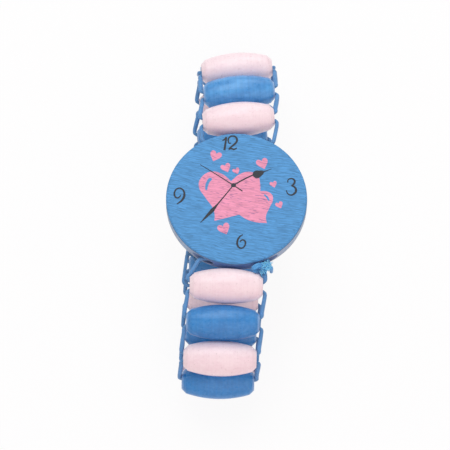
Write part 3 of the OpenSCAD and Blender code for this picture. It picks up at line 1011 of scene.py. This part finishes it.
# Middle line of the cord's open end: beside, above and outside the knot's middle, in millimetres
OPEN_END = [(-0.6, 1.0, 0.1), (0.0, 1.3, 0.2), (0.6, 1.3, 0.3)]
# Tufts: number of fibres, ranges of their roots beside and above the knot's middle
# in millimetres, and of their headings and tilts in degrees
KNOT_TUFT = (90, (-2.7, -0.4), (1.4, 2.5), (-200, 40), (-10, 70))
END_TUFT = (260, (-1.0, 1.1), (0.7, 2.2), (-120, 50), (-25, 55))
# Longest fibre of the knot's tuft, and of the other as a share of the frayed end
KNOT_FIBRE_L, END_FIBRE_SHARE = 0.9 * MM, 0.6


def off_bead(point, clearance):
    """Moves a point out to a clearance from bead 1, which comes nearer as the strap flattens."""
    bead = frame["nodes"]["bead_01"]
    _, spot, normal, _ = bead.closest_point_on_mesh(point)
    return point + normal * max(0.0, clearance - (point - spot).dot(normal))


def tail_place():
    """Where the spare end parts from the knot's cord, under the dial's back."""
    s = sizes()
    return Vector((-0.48 * DIAL_R, -HOLE_Y + 0.6 * MM, DIAL_LOW.z - s.tail_d - s.standoff))


def knot_width(share):
    """Diameter of the tied cord: full in the knot, and thinner before and after it."""
    return sizes().tied_d if 0.4 < share < 0.86 else KNOT_CORD


def knot_tube(mesh, route, width, ends=(None, None)):
    """A length of the tied cord."""
    add_tube(mesh, smooth_route(route, KNOT_STEP), width, 16, 0.92, 200, ends)


def fray():
    """A tuft of loose fibres that fans out from the knot along the rim."""
    mesh = bmesh.new()
    # the cord's open end, which widens from 1.3 to 1.7 mm and sends out the fibres
    end = [in_knot(side * MM, rise * MM, out * MM) for side, rise, out in OPEN_END]
    add_tube(mesh, smooth_route(end, 0.2 * MM), lambda share: (1.3 + 0.4 * share) * MM, sides=16)
    add_fibres(mesh, *END_TUFT, sizes().fray_l * END_FIBRE_SHARE)
    made = object_from(mesh, "frayed_tuft", loose_fibres())
    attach(made, "dial")
    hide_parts("frayed_end")


def add_fibres(mesh, count, side, rise, headings, tilts, longest):
    """Adds the curled fibres of a tuft, the longest of a given length."""
    rng = random.Random(count)
    for n in range(count):
        heading = KNOT_TURN + math.radians(rng.uniform(*headings))
        tilt = math.radians(rng.uniform(*tilts))
        reach = longest * rng.uniform(0.4, 1.0)
        root = in_knot(rng.uniform(*side) * MM, rng.uniform(*rise) * MM, rng.uniform(-0.5, 0.9) * MM)
        out = Vector((math.cos(heading) * math.cos(tilt), math.sin(heading) * math.cos(tilt),
                      math.sin(tilt)))
        curl = Vector((rng.uniform(-1, 1), rng.uniform(-1, 1), rng.uniform(-0.6, 0.8))) * 0.45
        points = [root, root + (out + curl * 0.2) * reach * 0.35,
                  root + (out + curl * 0.6) * reach * 0.7, root + (out + curl) * reach]
        thick = rng.uniform(0.14, 0.28) * MM
        points = [off_bead(point, thick / 2 + BEAD_ROOM) for point in points]
        add_tube(mesh, smooth_route(points, reach / 6),
                 lambda share, w=thick: w * (1 - 0.5 * share), sides=6)


class WATCH_OT_knot(bpy.types.Operator):
    """Ties the knot beside the dial, with its frayed end"""
    bl_idname = "watch.knot"
    bl_label = "Knot and frayed end"

    def execute(self, context):
        s = sizes()
        # the knot's cord is a lighter, bluer copy of the elastic's colour: painted light
        cord = braided_elastic("tied_polyester_elastic", linear("#58ABE8"), 0.4)
        join = tail_place()
        under = join + Vector((s.parting, 0, 0))
        under_end = Vector((HOLE_END_X, join.y, join.z))
        riser_low = in_knot(3.4 * KNOT_LOOP, -4.4 * KNOT_LOOP, KNOT_DEPTH)
        riser_high = in_knot(3.4 * KNOT_LOOP, 1.2 * KNOT_LOOP, KNOT_DEPTH)
        turn_out = in_knot(2.6 * KNOT_LOOP, 0, -KNOT_DEPTH)
        turn_back = Vector((HOLE_END_X + 1.6 * KNOT_CORD, -HOLE_Y, HOLE_Z))
        inside = Vector((s.parting / 2, -HOLE_Y, HOLE_Z))
        bend = KNOT_CORD * 0.7
        knot = [knot_point(degrees) for degrees in range(90, 391, 10)]
        route = (bent([under, under_end, riser_low, riser_high, knot[0]], bend) + knot[1:-1]
                 + bent([knot[-1], turn_out, turn_back, inside], bend))
        mesh = bmesh.new()
        knot_tube(mesh, route, knot_width, (Vector((1, 0, 0)), Vector((-1, 0, 0))))
        # two turns of the cord's end round the knot, on the side away from the fray
        turns = [in_knot((-1.6 + 1.05 * math.cos(a)) * MM, (1.7 + 0.85 * math.sin(a)) * MM,
                         (-0.6 + 1.1 * a / (4 * math.pi)) * MM)
                 for a in [math.radians(20 * n) for n in range(37)]]
        tied = constant(s.tied_d)
        knot_tube(mesh, [off_bead(point, s.tied_d / 2 + BEAD_ROOM) for point in turns], tied)
        root, tip = in_knot(0, 0, 0), stub_end(0.0)
        stub = [root, root.lerp(tip, 0.5), tip]
        knot_tube(mesh, stub, tied, (None, Vector((0, -1, 0))))
        add_fibres(mesh, *KNOT_TUFT, KNOT_FIBRE_L)
        made = object_from(mesh, "tied_knot", cord)
        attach(made, "dial")
        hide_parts("knot")
        fray()
        return {"FINISHED"}


class WATCH_OT_spare_end(bpy.types.Operator):
    """Leads the spare end behind the dial and into the first bead"""
    bl_idname = "watch.spare_end"
    bl_label = "Tucked spare end"

    def execute(self, context):
        s = sizes()
        axis, outward = bore_axis(1), toward(1, -1)
        below = across(-out_of_loop(1), outward)
        mouth_x = run_x() - s.bend_r
        inner, mouth = (
            bead_place(1) - axis * mouth_x * far + arc_mix(outward, below, turned) * strand_r()
            for far, turned in ((0.6, 0.4), (1, 0.9)))
        corner = mouth - axis * (s.bend_r + s.cord_d)
        join = tail_place()
        rim_corner = Vector((-0.675 * DIAL_R, -0.67 * DIAL_R, join.z))
        join_corner = Vector((-0.56 * DIAL_R, join.y, join.z))
        bend = s.tail_d * 0.8
        route = ([inner, mouth] + mouth_bend(mouth, corner, rim_corner)
                 + bent([corner, rim_corner, join_corner, join], bend)[1:])
        mesh = bmesh.new()
        add_tube(mesh, smooth_route(route, STRAND_STEP), constant(s.tail_d), flat=0.92, twist=150,
                 ends=(-axis, Vector((1, 0, 0))))
        # the spare end is a darker copy of the elastic's colour: painted shade under the dial
        cord = braided_elastic("spare_polyester_elastic", shaded(colours().cord, 0.88))
        made = object_from(mesh, "spare_end", cord)
        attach(made, "link_01")
        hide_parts("tucked_tail")
        return {"FINISHED"}


# The add-on

class WATCH_PT_panel(bpy.types.Panel):
    """Lists the watch's pieces, sizes and colours"""
    bl_idname = "WATCH_PT_panel"
    bl_label = "Toy Watch"
    bl_space_type = "VIEW_3D"
    bl_region_type = "UI"
    bl_category = "Toy Watch"

    def draw(self, context):
        for group in (sizes(), colours()):
            box = self.layout.box()
            for key in type(group).__annotations__:
                box.prop(group, key)
        for made in OPERATORS:
            self.layout.operator(made.bl_idname)


OPERATORS = (WATCH_OT_stage, WATCH_OT_dial, WATCH_OT_print, WATCH_OT_beads,
             WATCH_OT_elastic, WATCH_OT_knot, WATCH_OT_spare_end)
CLASSES = (WATCH_PG_sizes, WATCH_PG_colours, *OPERATORS, WATCH_PT_panel)


def register():
    """Registers the classes and the two groups of properties."""
    for made in CLASSES:
        bpy.utils.register_class(made)
    bpy.types.Scene.watch_sizes = bpy.props.PointerProperty(type=WATCH_PG_sizes)
    bpy.types.Scene.watch_colours = bpy.props.PointerProperty(type=WATCH_PG_colours)


def unregister():
    """Takes away what register added."""
    del bpy.types.Scene.watch_sizes
    del bpy.types.Scene.watch_colours
    for made in reversed(CLASSES):
        bpy.utils.unregister_class(made)


def main():
    """Dresses the watch piece by piece."""
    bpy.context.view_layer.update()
    register()
    bpy.ops.watch.stage()
    bpy.ops.watch.dial()
    bpy.ops.watch.print_face()
    bpy.ops.watch.beads()
    bpy.ops.watch.elastic()
    bpy.ops.watch.knot()
    bpy.ops.watch.spare_end()
    bpy.context.view_layer.update()


if __name__ == "__main__":
    main()
